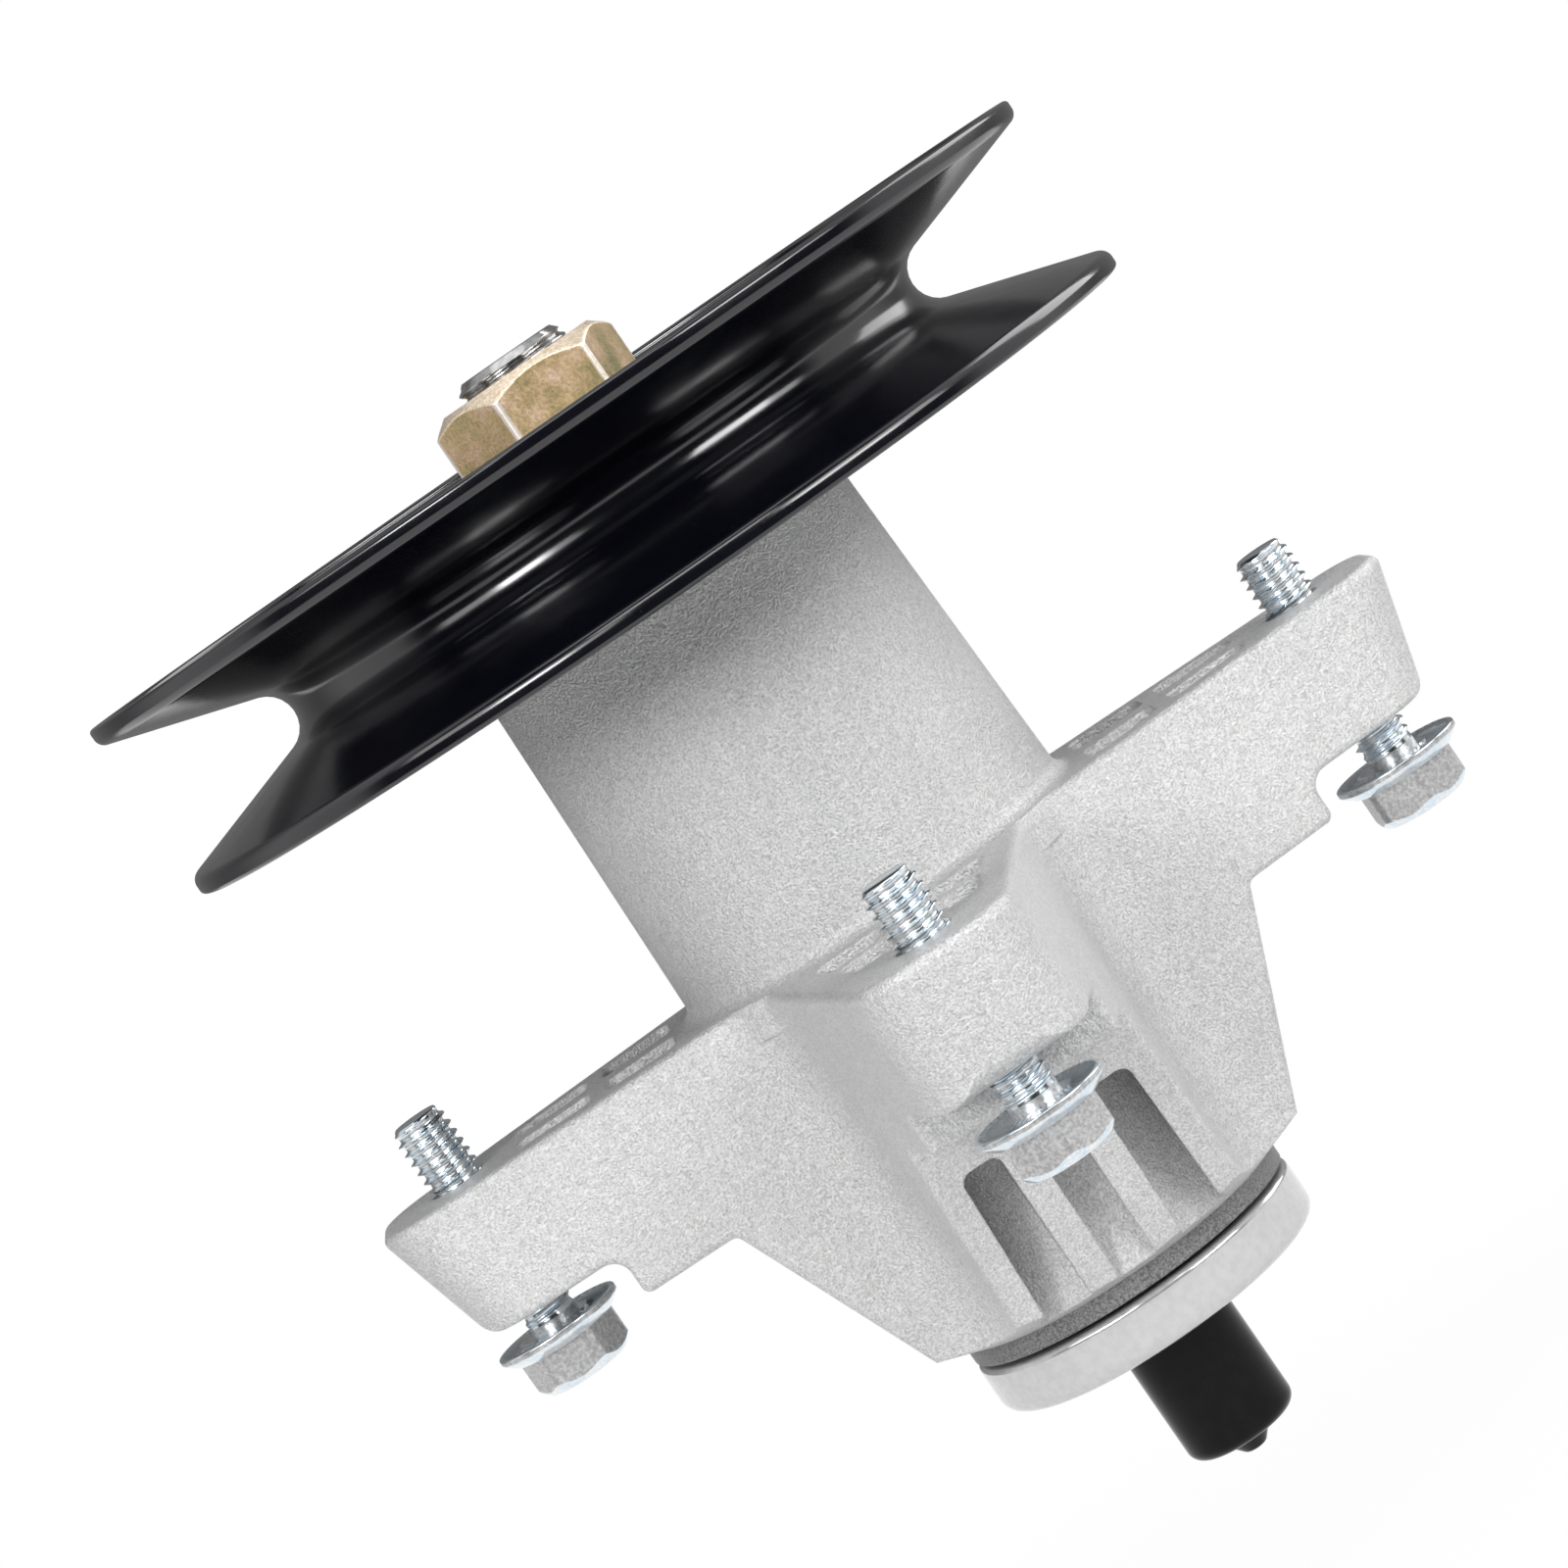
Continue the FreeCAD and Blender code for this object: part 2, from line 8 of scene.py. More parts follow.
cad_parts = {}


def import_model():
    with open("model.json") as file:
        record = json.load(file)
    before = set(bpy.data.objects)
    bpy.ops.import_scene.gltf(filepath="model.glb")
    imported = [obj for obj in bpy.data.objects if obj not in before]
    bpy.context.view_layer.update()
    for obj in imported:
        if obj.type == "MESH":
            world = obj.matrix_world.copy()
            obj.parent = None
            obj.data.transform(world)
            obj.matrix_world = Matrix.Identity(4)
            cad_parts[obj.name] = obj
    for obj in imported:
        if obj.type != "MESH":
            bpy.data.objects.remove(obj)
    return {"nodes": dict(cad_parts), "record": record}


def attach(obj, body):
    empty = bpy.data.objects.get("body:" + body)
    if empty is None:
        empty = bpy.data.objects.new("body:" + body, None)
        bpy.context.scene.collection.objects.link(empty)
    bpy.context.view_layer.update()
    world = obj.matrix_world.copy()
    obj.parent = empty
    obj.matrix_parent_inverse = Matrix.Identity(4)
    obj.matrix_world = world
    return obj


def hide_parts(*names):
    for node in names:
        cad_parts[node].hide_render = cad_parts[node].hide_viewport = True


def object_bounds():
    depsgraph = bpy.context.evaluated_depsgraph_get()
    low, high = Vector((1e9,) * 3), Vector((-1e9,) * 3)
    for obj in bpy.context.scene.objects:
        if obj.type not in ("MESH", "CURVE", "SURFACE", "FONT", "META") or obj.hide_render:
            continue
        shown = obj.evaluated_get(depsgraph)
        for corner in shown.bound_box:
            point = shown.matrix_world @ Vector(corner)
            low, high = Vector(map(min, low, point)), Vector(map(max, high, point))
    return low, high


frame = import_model()
nodes = frame["nodes"]
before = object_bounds()
MM = 0.001

# Sizes in millimetres and degrees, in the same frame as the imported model

# Pulley
belt_plane_z = 79.6
pulley_r = 70.5
pulley_half_height = 12.55
groove_root_r = 47.75
groove_root_round = 4.1
groove_slope = 17.5
rim_wall = 1.9
rim_edge_round = 0.6
rim_bend = 1.5
inside_bend = 0.4
web_thickness = 3.8
web_corner_round = 6.0
hub_r = 14.0

# Screws, from the arm at +X anticlockwise: how far each stands off its seat, and how its head is turned
bolt_circle_r = 65.1
screw_gaps = (5.5, 5.0, 3.8, 5.2)
screw_turns = (32.0, 30.0, -4.5, 27.0)
screw_length = 31.75
screw_r = 3.8
screw_root_r = 3.1
screw_neck_r = 3.4
screw_pitch = 1.41
screw_rows_per_pitch = 11
screw_neck_run = (0.8, 2.4)
screw_thread_start = (0.6, 2.6)
screw_thread_end = (1.6, 0.4)
screw_inner_end = 0.6
screw_tip_bevel = 0.25
screw_hex_across = 12.7
screw_corner_r = 7.03
screw_corner_wear = 0.16
screw_head_height = 7.8
screw_flat_r = 2.0
screw_crown_r = 5.75
screw_crown_round = 0.6
screw_crown_height = 1.3
screw_crown_end = 2.0
screw_side_start = 3.4
screw_row_step = 0.16
screw_washer_r = 8.9
screw_washer_rim = 1.1
screw_washer_height = 2.3
screw_washer_top_r = 6.6
screw_cone_r = 7.35
screw_dish = 0.25
screw_dish_r = 8.3

# Teeth under a screw's washer, as rings from the rim inwards: radius, height, depth of the teeth
teeth = 36
teeth_sweep = 0.4
teeth_middle_r = 7
teeth_rings = (
    (8.1, -0.2, 0.32), (7.2, -0.16, 0.34), (6.2, -0.12, 0.34), (5.3, -0.1, 0.3),
    (4.7, -0.3, 0), (2.5, -0.3, 0),
)

# Nut
nut_across = 23.81
nut_bottom_z = 85.2
nut_height = 14.0
nut_turn = 9.3
nut_corner_r = 13.70
nut_corner_wear = 0.18
# Where the nut's corners turn near white: partly rubbed plate, partly painted highlight
nut_rubbed_highlight_from = (13.40, 13.58)
nut_face_r = 11.0
nut_chamfer = 2.095
nut_chamfer_end = 2.9
nut_row_step = 0.22
nut_bore_gap = 0.02
nut_sink = 0.7

# Shaft
flange_r = 23.95
flange_top_z = -40.3
flange_bottom_z = -47.6
flange_bottom_round = 2.0
flange_top_round = 0.8
flange_recess_r = 8.8
flange_recess_depth = 0.6
collar_r = 11.6
collar_top_z = -37.6
journal_r = 8.5
lower_thread_r = 7.14
lower_thread_end = -65.9
upper_thread_r = 7.94
shaft_pitch = 1.411
shaft_rows_per_pitch = 8
shaft_thread_depth = 0.75
lower_lead, lower_lead_depth = 1.0, 1.1
upper_lead, upper_lead_depth = 1.2, 1.2
hub_top = 84.0
hub_seat_depth = 0.4
shaft_top_z = 101.45

# Housing
lip_top_z = -37.0
cast_edge_round = 0.5

# Floor, low enough for the cap to come off above it
floor_drop = 22.5
floor_half = 600


# Shapes

def rounded(points, steps):
    """(r, z) points along an outline, with an arc at each corner that has a rounding."""
    out = []
    count = len(points)
    for i in range(count):
        here = Vector(points[i][:2])
        rounding = points[i][2] if len(points[i]) > 2 else 0
        if not rounding:
            out.append((here.x, here.y))
            continue
        back = (Vector(points[i - 1][:2]) - here).normalized()
        ahead = (Vector(points[(i + 1) % count][:2]) - here).normalized()
        half = back.angle(ahead) / 2
        centre = here + (back + ahead).normalized() * rounding / math.sin(half)
        start = here + back * rounding / math.tan(half) - centre
        stop = here + ahead * rounding / math.tan(half) - centre
        sweep = math.atan2(start.x * stop.y - start.y * stop.x, start.dot(stop))
        for k in range(steps + 1):
            turn = Matrix.Rotation(sweep * k / steps, 2)
            point = centre + turn @ start
            out.append((point.x, point.y))
    return out


def dense(points, step):
    """The same line with a point at least this often."""
    out = [points[0]]
    for (r0, z0), (r1, z1) in zip(points, points[1:]):
        count = max(1, math.ceil(math.hypot(r1 - r0, z1 - z0) / step))
        for k in range(1, count + 1):
            out.append((r0 + (r1 - r0) * k / count, z0 + (z1 - z0) * k / count))
    return out


def soft_min(a, b, width):
    """The smaller of two, with the change from one to the other rounded over this width."""
    share = np.clip(0.5 + 0.5 * (b - a) / width, 0, 1)
    return b * (1 - share) + a * share - width * share * (1 - share)


def ridge(angle, z, pitch, width=0.34):
    """Thread height from 0 to 1 along a right-handed helix, with rounded crests and roots."""
    phase = np.mod(z / pitch - angle / (2 * math.pi), 1.0)
    height = np.clip(1 - np.abs(phase - 0.5) / width, 0, 1)
    return height * height * (3 - 2 * height)


def ring(angle, reach, z):
    """Points round the axis, where the reach and the height may each vary with the angle."""
    reach = np.broadcast_to(reach, angle.shape)
    z = np.broadcast_to(z, angle.shape)
    return np.stack([reach * np.cos(angle), reach * np.sin(angle), z], 1)


def hex_rings(profile, across, corner_r, turn, wear, per_side):
    """Rings along (r, z) points, each cut to a hexagon whose corners and edges are a little worn."""
    offset = math.pi / 6 * np.sin(np.linspace(-math.pi / 2, math.pi / 2, per_side, endpoint=False))
    angle = np.concatenate([offset + math.pi / 3 * k for k in range(6)])
    flat = soft_min(across / 2 / np.cos(np.tile(offset, 6)), corner_r, wear)
    angle = angle + math.radians(turn) + math.pi / 6
    return [ring(angle, soft_min(flat, r, wear), z) for r, z in profile]


def skin(rings, closed=False):
    """Vertices and faces between rings of points, closed into a loop or ended with fans."""
    n = len(rings[0])
    verts = [tuple(p) for points in rings for p in points]
    faces = []
    pairs = [(i, i + 1) for i in range(len(rings) - 1)]
    if closed:
        pairs.append((len(rings) - 1, 0))
    for a, b in pairs:
        for j in range(n):
            k = (j + 1) % n
            faces.append((a * n + j, a * n + k, b * n + k, b * n + j))
    if not closed:
        for start, way in ((0, -1), ((len(rings) - 1) * n, 1)):
            middle = len(verts)
            verts.append(tuple(np.mean(verts[start:start + n], axis=0)))
            for j in range(n):
                k = (j + 1) % n
                pair = (start + j, start + k) if way > 0 else (start + k, start + j)
                faces.append(pair + (middle,))
    return verts, faces


def turned(profile, segments, radius=None, closed=False):
    """A solid of revolution from (r, z) points. radius(angle, r, z) may vary the radius round it."""
    angle = np.linspace(0, 2 * math.pi, segments, endpoint=False)
    return skin([ring(angle, radius(angle, r, z) if radius else r, z) for r, z in profile], closed)


def placed(part, x=0.0, y=0.0, z=0.0):
    verts, faces = part
    return [(x + p[0], y + p[1], z + p[2]) for p in verts], faces


# Materials

class Nodes:
    """The node tree of a material or a world. Its methods take and give output sockets."""

    def __init__(self, owner):
        owner.use_nodes = True
        self.tree = owner.node_tree
        self.tree.nodes.clear()
        self.coords = self.node("ShaderNodeTexCoord").outputs

    def put(self, made, **inputs):
        """Fills a node's inputs by name, each with a constant or a link."""
        for key, value in inputs.items():
            into = made.inputs[key.replace("_", " ")]
            if isinstance(value, bpy.types.NodeSocket):
                self.tree.links.new(value, into)
            else:
                into.default_value = value
        return made

    def node(self, kind, **inputs):
        return self.put(self.tree.nodes.new(kind), **inputs)

    def chain(self, made, *sources):
        """Fills a node's inputs in order, and gives its first output."""
        for into, source in zip(made.inputs, sources):
            self.tree.links.new(source, into)
        return made.outputs[0]

    def calc(self, operation, *values):
        made = self.node("ShaderNodeMath")
        made.operation = operation
        return self.chain(made, *values)

    def blend(self, share, a, b):
        """Shader a where the share is 0 and shader b where it is 1."""
        return self.chain(self.node("ShaderNodeMixShader"), share, a, b)

    def split(self, vector):
        return self.node("ShaderNodeSeparateXYZ", Vector=vector).outputs

    def length(self, vector):
        made = self.node("ShaderNodeVectorMath", Vector=vector)
        made.operation = "LENGTH"
        return made.outputs["Value"]

    def spread(self, source, low, high, at=(0.3, 0.7), smooth=False):
        """A value from low to high as the source goes between two values."""
        made = self.node("ShaderNodeMapRange", Value=source, From_Min=at[0], From_Max=at[1],
                         To_Min=low, To_Max=high)
        if smooth:
            made.interpolation_type = "SMOOTHSTEP"
        return made.outputs["Result"]

    def shiny_rays(self, rays):
        """1 for the rays of reflections and of light through things."""
        return self.calc("MAXIMUM", rays["Is Glossy Ray"], rays["Is Transmission Ray"])


class Shader(Nodes):
    """A material with one principled surface, whose constants are given with its name."""

    def __init__(self, name, **constants):
        self.material = bpy.data.materials.new(name)
        super().__init__(self.material)
        self.surface = self.node("ShaderNodeBsdfPrincipled", **constants)
        self.node("ShaderNodeOutputMaterial", Surface=self.surface.outputs["BSDF"])

    def done(self, **inputs):
        """The material, once the surface's varying inputs are linked."""
        self.put(self.surface, **inputs)
        return self.material

    def noise(self, scale, detail, roughness, stretch=(1, 1, 1)):
        mapping = self.node("ShaderNodeMapping", Vector=self.coords["Object"], Scale=stretch)
        return self.node("ShaderNodeTexNoise", Vector=mapping.outputs["Vector"], Scale=scale,
                         Detail=detail, Roughness=roughness).outputs["Fac"]

    def ramp(self, source, low, high, at=(0.35, 0.65), middle=None):
        """Colours from low to high as the source goes between two values, by way of one at 0.5."""
        made = self.node("ShaderNodeValToRGB", Fac=source)
        for element, position, colour in zip(made.color_ramp.elements, at, (low, high)):
            element.position = position
            element.color = (*colour, 1)
        if middle:
            made.color_ramp.elements.new(0.5).color = (*middle, 1)
        return made.outputs["Color"]

    def mixed(self, share, a, b):
        """Colour a where the share is 0 and colour b where it is 1."""
        return self.node("ShaderNodeMixRGB", Fac=share, Color1=a, Color2=b).outputs["Color"]

    def times(self, a, b):
        made = self.node("ShaderNodeMixRGB", Fac=1.0, Color1=a, Color2=b)
        made.blend_type = "MULTIPLY"
        return made.outputs["Color"]

    def bump(self, source, height_mm, strength, **under):
        return self.node("ShaderNodeBump", Strength=strength, Distance=height_mm * MM, Height=source,
                         **under).outputs["Normal"]

    def above(self, low_mm, high_mm):
        """From 0 to 1 as the height goes between two values."""
        return self.spread(self.split(self.coords["Object"])["Z"], 0.0, 1.0, (low_mm * MM, high_mm * MM))

    def reach(self, low_mm, high_mm):
        """From 0 to 1 as the distance from the axis goes between two values."""
        flat = self.node("ShaderNodeMapping", Vector=self.coords["Object"], Scale=(1, 1, 0))
        return self.spread(self.length(flat.outputs["Vector"]), 0.0, 1.0, (low_mm * MM, high_mm * MM))

    def upright(self):
        """1 where the surface is parallel to the axis, 0 where it leans."""
        lean = self.split(self.node("ShaderNodeNewGeometry").outputs["Normal"])["Z"]
        return self.spread(self.calc("ABSOLUTE", lean), 1.0, 0.0, (0.04, 0.16))


def grey(value, tint=(1, 1, 1)):
    return tuple(value * t for t in tint)


def cast_metal():
    """Shot-blasted casting, with painted shade on the lip below the skirts: its colour is darkened for
    the shadow the skirts cast there.
    """
    s = Shader("cast_aluminium", Metallic=0.4, Specular_IOR_Level=0.4)
    grain = s.noise(3300, 2.0, 0.6)
    lumps = s.noise(1100, 2.0, 0.5)
    blotch = s.noise(60, 3.0, 0.5)
    colour = s.ramp(grain, grey(0.46), grey(0.76), (0.34, 0.66))
    tone = s.ramp(lumps, grey(0.92), grey(1.0), (0.35, 0.6))
    wide = s.ramp(blotch, grey(0.94), grey(1.0))
    body_colour = s.times(s.times(colour, tone), wide)
    # Painted shade: the lip's colour is darkened for the shadow under the skirts
    lip_painted_shade = s.ramp(grain, grey(0.09), grey(0.27))
    above_lip = s.above(lip_top_z - 0.1, lip_top_z + 0.1)
    edge = s.node("ShaderNodeBevel", Radius=cast_edge_round * MM)
    edge.samples = 4
    lumpy = s.bump(lumps, 0.2, 0.8, Normal=edge.outputs["Normal"])
    return s.done(
        Base_Color=s.mixed(above_lip, lip_painted_shade, body_colour),
        Roughness=s.spread(grain, 0.36, 0.50),
        Normal=s.bump(grain, 0.26, 1.0, Normal=lumpy))


def plain_metal(name, colour, rough, streak=(1, 1, 1), scale=500, relief=0.02, vary=0.12):
    s = Shader(name, Metallic=1.0)
    grain = s.noise(scale, 3.0, 0.5, streak)
    worn = s.noise(scale * 0.3, 4.0, 0.6)
    high = tuple(min(1.0, c) for c in grey(1 + vary, colour))
    return s.done(
        Base_Color=s.ramp(grain, grey(1 - vary, colour), high),
        Roughness=s.spread(worn, rough * 0.75, rough * 1.25),
        Normal=s.bump(grain, relief, 0.6))


def shaft_metal():
    """Bright turned steel, darker in the upper thread."""
    s = Shader("shaft_steel")
    fine = s.noise(900, 3.0, 0.5)
    bright = s.ramp(fine, grey(0.53), grey(0.59))
    dark = s.ramp(fine, grey(0.36), grey(0.50))
    thread = s.above(hub_top - 0.5, hub_top)
    return s.done(
        Base_Color=s.mixed(thread, bright, dark),
        Metallic=s.spread(thread, 0.6, 0.95, (0, 1)),
        Roughness=s.spread(fine, 0.10, 0.16),
        Normal=s.bump(fine, 0.003, 0.6))


def blue_zinc():
    """Clear zinc plate with a faint blue bloom, more matt on the screws' flats."""
    s = Shader("screw_zinc")
    bloom = s.noise(330, 3.0, 0.6)
    fine = s.noise(2200, 2.0, 0.6)
    tone = s.ramp(fine, grey(0.84), grey(0.94), (0.36, 0.64))
    tint = s.ramp(bloom, (0.80, 0.91, 1.0), (0.94, 0.98, 1.0), (0.38, 0.6))
    matt = s.ramp(fine, grey(0.42), grey(0.66), (0.36, 0.64))
    flats = s.upright()
    return s.done(
        Base_Color=s.mixed(flats, s.times(tone, tint), matt),
        Metallic=s.spread(flats, 1.0, 0.85, (0, 1)),
        Roughness=s.spread(flats, 0.15, 0.36, (0, 1)),
        Normal=s.bump(fine, 0.004, 0.5))


def yellow_zinc():
    """Yellow plate in patches, with painted highlights: the bevels are paler for the light they catch,
    and the corners turn near white, partly rubbed plate and partly painted highlight.
    """
    s = Shader("nut_zinc", Metallic=0.6)
    patch = s.noise(210, 4.0, 0.6)
    fine = s.noise(2200, 2.0, 0.6)
    tone = s.ramp(patch, (0.42, 0.36, 0.17), (0.78, 0.56, 0.40), (0.34, 0.68), (0.62, 0.45, 0.24))
    speck = s.ramp(fine, grey(0.72), grey(1.0), (0.36, 0.60))
    # Painted highlight: the bevels get a paler colour for the light they catch
    bevel_highlight = s.ramp(fine, (0.66, 0.54, 0.36), (0.92, 0.78, 0.64), (0.36, 0.60))
    # Near white at the corners: partly rubbed plate, partly painted highlight
    rubbed_highlight = s.ramp(patch, (0.95, 0.84, 0.72), (1.0, 0.94, 0.90))
    colour = s.mixed(s.upright(), bevel_highlight, s.times(tone, speck))
    return s.done(
        Base_Color=s.mixed(s.reach(*nut_rubbed_highlight_from), colour, rubbed_highlight),
        Roughness=s.spread(patch, 0.24, 0.42),
        Normal=s.bump(fine, 0.04, 0.7))


def black_paint():
    """Gloss paint with a slight wave and a few pale specks of dust."""
    s = Shader("pulley_paint", Specular_IOR_Level=0.9)
    wave = s.noise(150, 2.0, 0.5)
    dust = s.noise(2600, 1.0, 0.5)
    return s.done(
        Base_Color=s.ramp(dust, (0.0020, 0.0022, 0.0045), (0.03, 0.03, 0.035), (0.76, 0.84)),
        Roughness=s.spread(wave, 0.12, 0.19),
        Normal=s.bump(wave, 0.03, 0.35))


def plastic(name, colour, rough, scale=900, relief=0.02, gloss=0.5):
    s = Shader(name, Specular_IOR_Level=gloss)
    grain = s.noise(scale, 3.0, 0.5)
    return s.done(
        Base_Color=s.ramp(grain, grey(0.8, colour), grey(1.25, colour)),
        Roughness=s.spread(grain, rough * 0.85, rough * 1.15),
        Normal=s.bump(grain, relief, 0.5))


looks = {
    "cast_aluminium": cast_metal(),
    "screw_zinc": blue_zinc(),
    "shaft_steel": shaft_metal(),
    "spacer_steel": plain_metal("spacer_steel", grey(0.5), 0.35, (0.15, 0.15, 6)),
    "pulley_paint": black_paint(),
    "nut_zinc": yellow_zinc(),
    "washer_zinc": plain_metal("washer_zinc", grey(0.6), 0.3),
    "race_steel": plain_metal("race_steel", grey(0.7), 0.12, (0.1, 0.1, 8), 400, 0.005, 0.05),
    "ball_steel": plain_metal("ball_steel", grey(0.8), 0.05, (1, 1, 1), 300, 0.002, 0.03),
    "cage_steel": plain_metal("cage_steel", (0.55, 0.54, 0.5), 0.3, (1, 1, 1), 700),
    "seal_rubber": plastic("seal_rubber", grey(0.02), 0.6),
    "cap_plastic": plastic("cap_plastic", (0.0035, 0.0035, 0.004), 0.12, 500, 0.005, 0.15),
}
slot_of = {part["node"]: part["material_slot"] for part in frame["record"]["subparts"]}
for name, obj in nodes.items():
    obj.data.materials.clear()
    obj.data.materials.append(looks[slot_of[name]])


# Shown pieces that stand for packed ones

def piece(name, parts, body, slot, stands_for, sharp):
    """One shown piece from several parts in millimetres, riding on a body."""
    verts, faces = [], []
    for part_verts, part_faces in parts:
        base = len(verts)
        verts += part_verts
        faces += [tuple(i + base for i in face) for face in part_faces]
    mesh = bpy.data.meshes.new(name)
    mesh.from_pydata([tuple(c * MM for c in p) for p in verts], [], faces)
    mesh.validate()
    mesh.shade_smooth()
    mesh.set_sharp_from_angle(angle=math.radians(sharp))
    mesh.materials.append(looks[slot])
    obj = bpy.data.objects.new(name, mesh)
    bpy.context.scene.collection.objects.link(obj)
    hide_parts(*stands_for)
    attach(obj, body)


def pulley():
    """The pulley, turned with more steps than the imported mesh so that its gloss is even."""
    slope_tan = math.tan(math.radians(groove_slope))
    slope_cos = math.cos(math.radians(groove_slope))
    outer_line = groove_root_round / slope_cos
    inner_line = (groove_root_round + rim_wall) / slope_cos
    centre_r = groove_root_r + groove_root_round
    crease = (pulley_r - centre_r) * slope_tan + outer_line
    inside_r = pulley_r - rim_wall
    inside_crease = (inside_r - centre_r) * slope_tan + inner_line
    top = pulley_half_height
    web = web_thickness / 2
    meet_r = centre_r - inner_line / slope_tan + web / slope_tan
    half = [
        (pulley_r, crease, rim_bend), (pulley_r, top, rim_edge_round), (inside_r, top, rim_edge_round),
        (inside_r, inside_crease, inside_bend), (meet_r, web, web_corner_round), (hub_r, web),
    ]
    points = [(centre_r - outer_line / slope_tan, 0, groove_root_round)] + half
    points += [(r, -z, *rest) for r, z, *rest in reversed(half)]
    return [placed(turned(rounded(points, 10), 256, closed=True), z=belt_plane_z)]


def screw(turn):
    """One screw with its seat at height zero: the head with its washer, and the thread."""
    head, under, tip = -screw_head_height, -screw_washer_height, screw_length
    crown = rounded([
        (screw_flat_r, head), (screw_crown_r, head, screw_crown_round),
        (screw_corner_r, head + screw_crown_height), (screw_corner_r, head + screw_crown_end),
    ], 5)
    side = [(screw_corner_r, head + screw_side_start), (screw_corner_r, under)]
    profile = dense(crown, screw_row_step) + side
    rings = hex_rings(profile, screw_hex_across, screw_corner_r, turn, screw_corner_wear, 30)
    angle = np.linspace(0, 2 * math.pi, len(rings[0]), endpoint=False) + math.radians(turn)
    washer = rounded([
        (screw_washer_top_r, under), (screw_cone_r, under, 0.1),
        (screw_washer_r, -screw_washer_rim, 0.3), (screw_washer_r, -screw_dish, 0.2),
        (screw_dish_r, -screw_dish * 0.8),
    ], 4)
    rings += [ring(angle, r, z) for r, z in washer]
    for r, z, depth in teeth_rings:
        saw = np.mod(angle * teeth / (2 * math.pi) + (r - teeth_middle_r) * teeth_sweep, 1)
        rings.append(ring(angle, r, z - depth * saw))

    def thread(angle, r, z):
        run = [*screw_thread_start, *(tip - end for end in screw_thread_end)]
        grow = np.interp(z, run, [0.0, 1.0, 1.0, 0.25])
        neck = np.interp(z, screw_neck_run, [screw_neck_r - screw_root_r, 0])
        return r + neck + (screw_r - screw_root_r - neck) * grow * ridge(angle, z, screw_pitch)

    steps = int(tip / screw_pitch * screw_rows_per_pitch)
    shank = [(screw_root_r, -screw_inner_end)]
    shank += [(screw_root_r, (tip - screw_tip_bevel) * i / steps) for i in range(steps + 1)]
    shank += [(screw_root_r - screw_tip_bevel, tip)]
    return [skin(rings), turned(shank, 48, thread)]


def screws():
    """The four screws, one in the end of each arm, each with its own gap and turn."""
    parts = []
    for i, (gap, turn) in enumerate(zip(screw_gaps, screw_turns)):
        way = math.radians(90 * i)
        x, y = bolt_circle_r * math.cos(way), bolt_circle_r * math.sin(way)
        parts += [placed(part, x, y, -gap) for part in screw(turn)]
    return parts


def nut():
    """The nut, its ends bevelled at the corners and its bore countersunk."""
    hole = upper_thread_r + nut_bore_gap
    side = [
        (hole + nut_sink, 0.0), (nut_face_r, 0.0), (nut_corner_r, nut_chamfer),
        (nut_corner_r, nut_chamfer_end),
    ]
    half = [(hole, nut_sink)] + dense(side, nut_row_step)
    profile = half + [(r, nut_height - z) for r, z in reversed(half)]
    rings = hex_rings(profile, nut_across, nut_corner_r, nut_turn, nut_corner_wear, 36)
    return [placed(skin(rings, closed=True), z=nut_bottom_z)]


def shaft():
    """The shaft with its flange, and with cut threads at both ends."""
    def radius(angle, r, z):
        if r > upper_thread_r or flange_bottom_z <= z <= hub_top:
            return r
        if z < 0:
            lead = np.interp(z, [lower_thread_end, lower_thread_end + lower_lead], [lower_lead_depth, 0])
        else:
            lead = np.interp(z, [shaft_top_z - upper_lead, shaft_top_z], [0, upper_lead_depth])
        cut = shaft_thread_depth * (1 - ridge(angle, z, shaft_pitch, 0.5))
        return np.minimum(r - cut, r - lead)

    def run(r, low, high):
        count = int((high - low) / shaft_pitch * shaft_rows_per_pitch)
        return [(r, low + (high - low) * k / count) for k in range(count + 1)]

    recess_top_z = flange_bottom_z + flange_recess_depth
    hub_seat_z = hub_top - hub_seat_depth
    rows = run(lower_thread_r, lower_thread_end, flange_bottom_z + 0.4)
    rows += [(lower_thread_r, recess_top_z), (flange_recess_r, recess_top_z)]
    rows += [(flange_recess_r + 0.01, flange_bottom_z)]
    flange = rounded([
        (flange_recess_r, flange_bottom_z), (flange_r, flange_bottom_z, flange_bottom_round),
        (flange_r, flange_top_z, flange_top_round), (collar_r, flange_top_z),
    ], 8)
    rows += flange[1:]
    rows += [(collar_r, collar_top_z), (journal_r, collar_top_z), (journal_r, hub_seat_z)]
    rows += [(upper_thread_r, hub_seat_z)] + run(upper_thread_r, hub_top + 0.01, shaft_top_z)
    return [turned(rows, 128, radius)]


piece("pulley_spun", pulley(), "rotor", "pulley_paint", ["belt_pulley"], 30)
piece("screws_threaded", screws(), "housing", "screw_zinc", ["mounting_screws"], 75)
piece("nut_worn", nut(), "rotor", "nut_zinc", ["top_nut"], 35)
piece("shaft_threaded", shaft(), "rotor", "shaft_steel", ["spindle_shaft"], 60)


# Surroundings

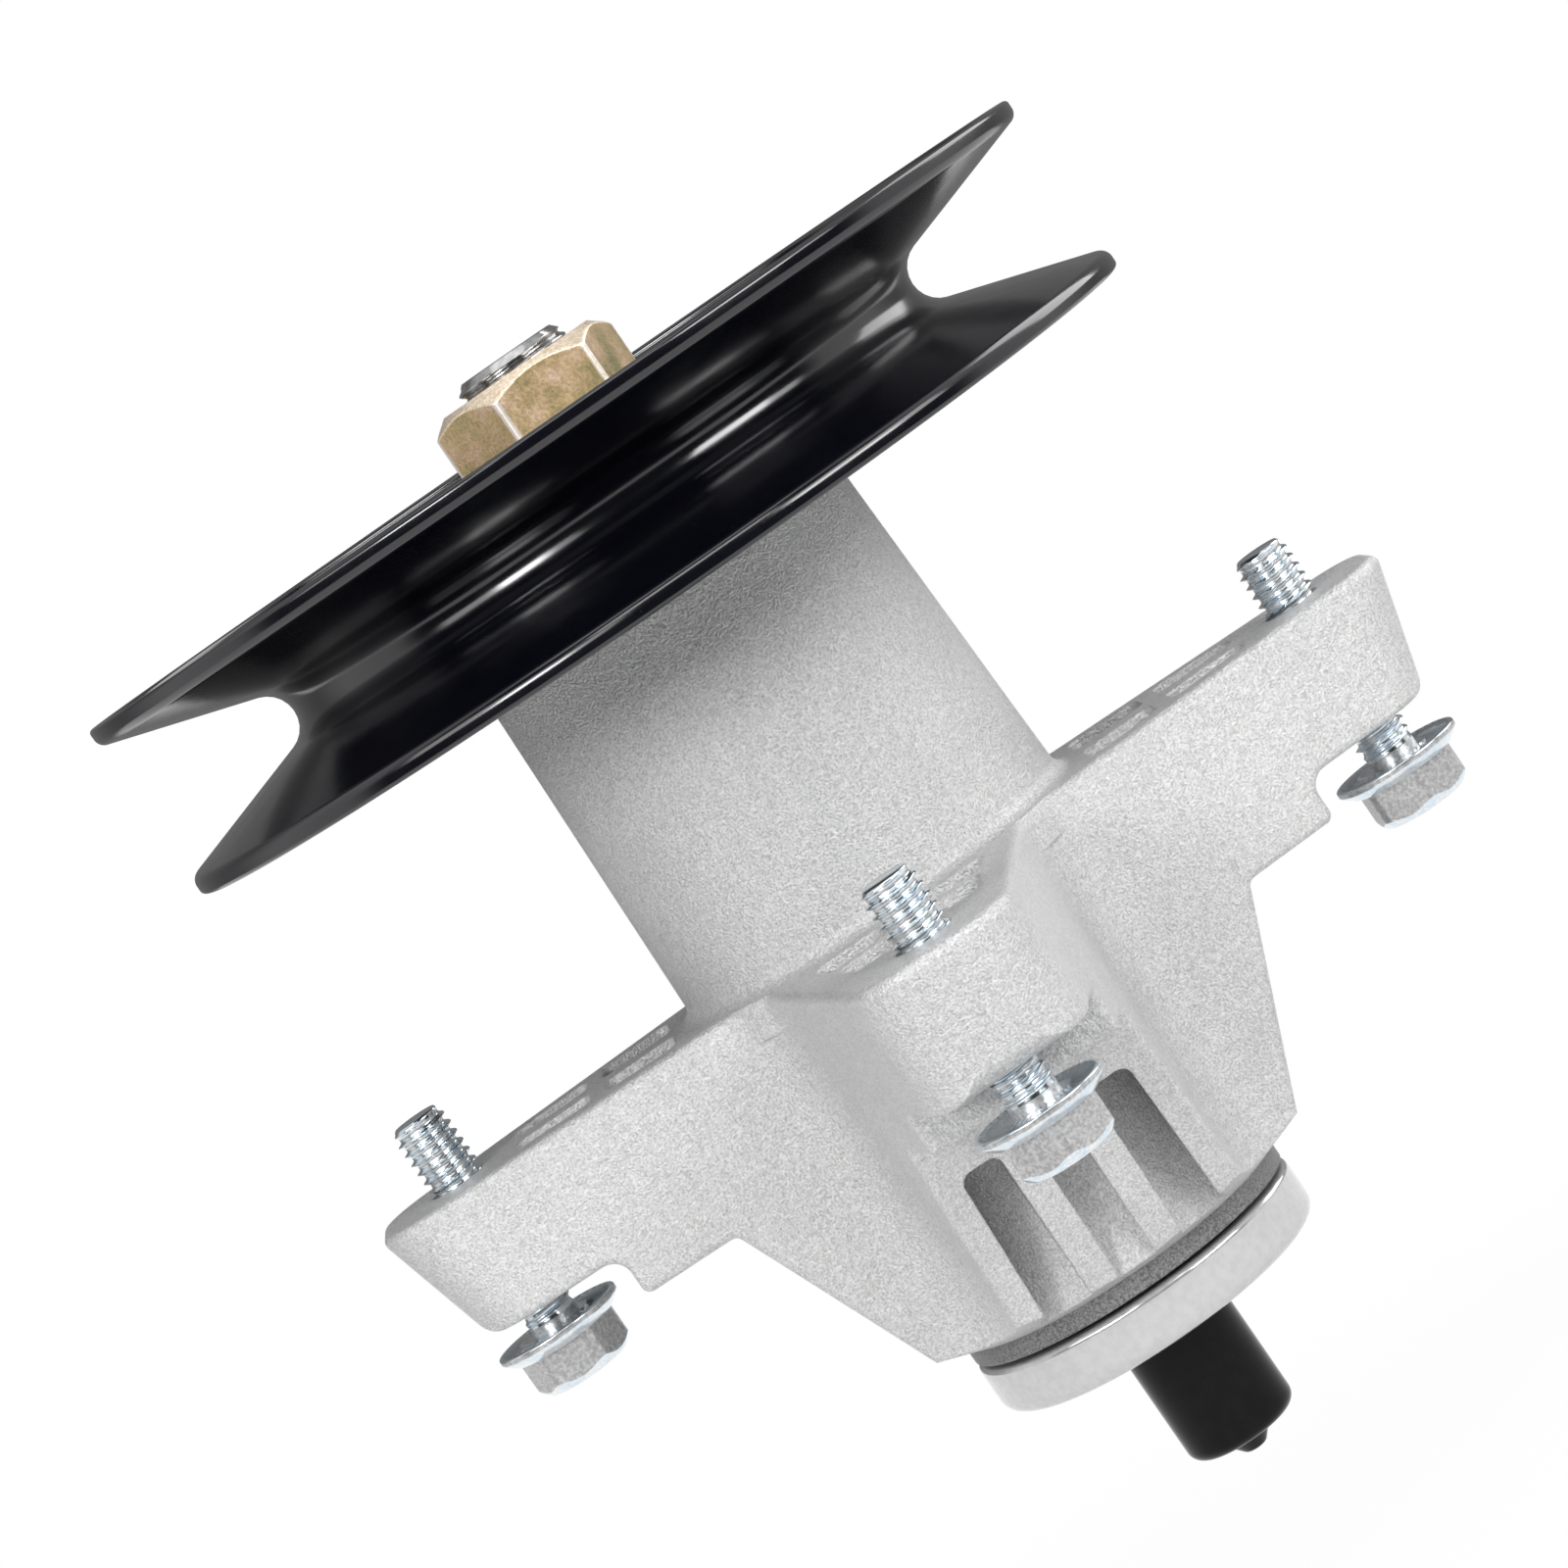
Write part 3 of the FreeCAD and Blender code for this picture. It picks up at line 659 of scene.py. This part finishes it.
def floor():
    """To the camera near white round the object, fading into the background, and clear from below."""
    half, z = floor_half * MM, before[0].z - floor_drop * MM
    mesh = bpy.data.meshes.new("floor")
    corners = [(-half, -half, z), (half, -half, z), (half, half, z), (-half, half, z)]
    mesh.from_pydata(corners, [], [(0, 1, 2, 3)])
    obj = bpy.data.objects.new("floor", mesh)
    bpy.context.scene.collection.objects.link(obj)
    material = bpy.data.materials.new("floor")
    tree = Nodes(material)
    rays = tree.node("ShaderNodeLightPath").outputs
    matt = tree.node("ShaderNodeBsdfDiffuse", Color=(0.86, 0.86, 0.86, 1)).outputs[0]
    white = tree.node("ShaderNodeEmission", Color=(1, 1, 1, 1), Strength=1.0).outputs[0]
    clear = tree.node("ShaderNodeBsdfTransparent").outputs[0]
    seen = tree.calc("MAXIMUM", rays["Is Camera Ray"], tree.shiny_rays(rays))
    fade = tree.spread(tree.length(tree.coords["Object"]), 0.93, 1.0, (0.08, 0.20), smooth=True)
    above = tree.blend(tree.calc("MULTIPLY", seen, fade), matt, white)
    below = tree.node("ShaderNodeNewGeometry").outputs["Backfacing"]
    tree.node("ShaderNodeOutputMaterial", Surface=tree.blend(below, above, clear))
    mesh.materials.append(material)


def world():
    """White to the camera. Gloss reflects grey instead: dark in front, pale at the sides, mid behind."""
    made = bpy.data.worlds.new("studio")
    bpy.context.scene.world = made
    tree = Nodes(made)
    rays = tree.node("ShaderNodeLightPath").outputs
    plain = tree.node("ShaderNodeBackground", Color=(1, 1, 1, 1), Strength=0.19).outputs[0]
    white = tree.node("ShaderNodeBackground", Color=(1, 1, 1, 1), Strength=1.0).outputs[0]
    y = tree.split(tree.coords["Generated"])["Y"]
    front = tree.spread(y, 0.03, 0.75, (-0.30, -0.08), smooth=True)
    behind = tree.spread(y, 1.0, 0.28, (0.30, 0.75), smooth=True)
    shade = tree.calc("MULTIPLY", front, behind)
    room = tree.node("ShaderNodeBackground", Color=shade, Strength=1.0).outputs[0]
    unseen = tree.blend(tree.shiny_rays(rays), plain, room)
    tree.node("ShaderNodeOutputWorld", Surface=tree.blend(rays["Is Camera Ray"], unseen, white))


# Softboxes round the upright object, each given by its azimuth and elevation, its width and height in
# degrees, and by how much it lights a white surface that faces it
softboxes = {
    "left": (-34, 18, 17, 14, 0.36),
    "right": (43, 17, 28, 15, 0.30),
    "left_high": (-40, 24, 50, 26, 0.36),
    "right_high": (50, 25, 40, 26, 0.40),
    "front_high": (4, 48, 36, 16, 0.22),
    "right_back": (120, 24, 34, 40, 0.40),
    "top": (0, 85, 38, 30, 0.10),
}
softbox_target = Vector((0, 0, 0.06))
softbox_distance = 1.2


def softbox(name, azimuth, elevation, wide, tall, level):
    azimuth, elevation, wide, tall = (math.radians(a) for a in (azimuth, elevation, wide, tall))
    level_part = math.cos(elevation)
    way = Vector((math.sin(azimuth) * level_part, -math.cos(azimuth) * level_part, math.sin(elevation)))
    data = bpy.data.lights.new(name, "AREA")
    data.shape = "RECTANGLE"
    data.size = 2 * softbox_distance * math.tan(wide / 2)
    data.size_y = 2 * softbox_distance * math.tan(tall / 2)
    data.energy = level * (math.pi * softbox_distance) ** 2
    obj = bpy.data.objects.new(name, data)
    bpy.context.scene.collection.objects.link(obj)
    obj.location = softbox_target + way * softbox_distance
    obj.rotation_euler = (-way).to_track_quat("-Z", "Y").to_euler()


def camera():
    """Fitted to the photograph, in which the object stands tilted."""
    distance, height = 0.6842, 0.0971
    swing, pitch, roll, yaw = (math.radians(a) for a in (-0.149, 5.086, -0.385, 1.41))
    tilt = math.radians(34.2)
    sensor_mm, focal_px, photo_px = 36.0, 5473, 1600
    level_part = math.cos(pitch)
    ahead = Vector((math.sin(swing) * level_part, math.cos(swing) * level_part, -math.sin(pitch)))
    right = Vector((math.cos(swing), -math.sin(swing), 0))
    up = right.cross(ahead)
    across = math.cos(roll) * right + math.sin(roll) * up
    upward = math.cos(roll) * up - math.sin(roll) * right
    x_axis = math.cos(tilt) * across - math.sin(tilt) * upward
    y_axis = math.sin(tilt) * across + math.cos(tilt) * upward
    axes = Matrix((x_axis, y_axis, -ahead)).transposed().to_4x4()
    place = Matrix.Translation((0, -distance, height)) @ axes
    data = bpy.data.cameras.new("camera")
    data.sensor_width = sensor_mm
    data.lens = sensor_mm * focal_px / photo_px
    data.clip_start, data.clip_end = 0.05, 20
    obj = bpy.data.objects.new("camera", data)
    bpy.context.scene.collection.objects.link(obj)
    obj.matrix_world = Matrix.Rotation(-yaw, 4, "Z") @ place
    bpy.context.scene.camera = obj


floor()
world()
for name, values in softboxes.items():
    softbox(name, *values)
camera()
bpy.context.scene.view_settings.view_transform = "Standard"
